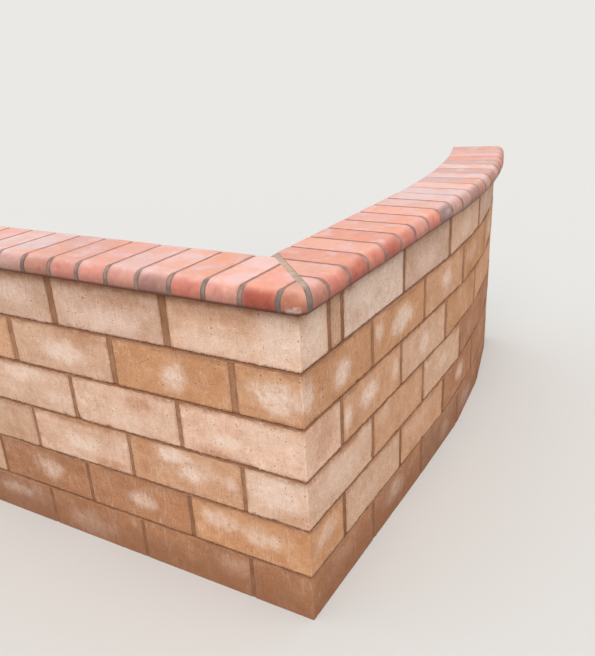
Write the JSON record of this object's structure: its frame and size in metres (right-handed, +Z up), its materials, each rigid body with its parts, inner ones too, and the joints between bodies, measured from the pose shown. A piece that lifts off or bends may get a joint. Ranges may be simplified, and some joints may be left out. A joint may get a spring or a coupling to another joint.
{
  "type": "garden wall",
  "caption": "Low garden wall of concrete blocks with two wings, a mitred square corner, a gentle bend and a bullnose clay brick coping.",
  "frame": {"origin": "under the middle of the wall's bounding box in plan, on the level that the lowest course stands on", "axes": "+X along the straight left wing towards the corner, +Y along the right wing away from it, +Z up; the outer faces look along -Y and +X"},
  "size_m": [2.4621, 2.2268, 0.9714],
  "materials": {
    "tan_block": "tan split concrete block with fine grit, pits and pale bloom",
    "block_mortar": "brown-grey mortar, struck a little behind the blocks",
    "clay_brick": "smooth fired clay, salmon to orange-red, from brick to brick",
    "grey_mortar": "grey mortar, smeared a little over the bricks' edges"
  },
  "bodies": {
    "root": {"left_course_1": "tan_block", "left_course_2": "tan_block", "left_course_3": "tan_block", "left_course_4": "tan_block", "left_course_5": "tan_block", "left_course_6": "tan_block", "right_course_1": "tan_block", "right_course_2": "tan_block", "right_course_3": "tan_block", "right_course_4": "tan_block", "right_course_5": "tan_block", "right_course_6": "tan_block", "bend_course_1": "tan_block", "bend_course_2": "tan_block", "bend_course_3": "tan_block", "bend_course_4": "tan_block", "bend_course_5": "tan_block", "bend_course_6": "tan_block", "top_closers": "tan_block", "left_mortar": "block_mortar", "right_mortar": "block_mortar", "bend_mortar": "block_mortar", "left_coping": "clay_brick", "left_mitre_bricks": "clay_brick", "right_mitre_bricks": "clay_brick", "right_coping": "clay_brick", "bend_coping": "clay_brick", "mitre_joint": "grey_mortar", "left_coping_joints": "grey_mortar", "right_coping_joints": "grey_mortar", "bend_coping_joints": "grey_mortar"}
  },
  "joints": []
}
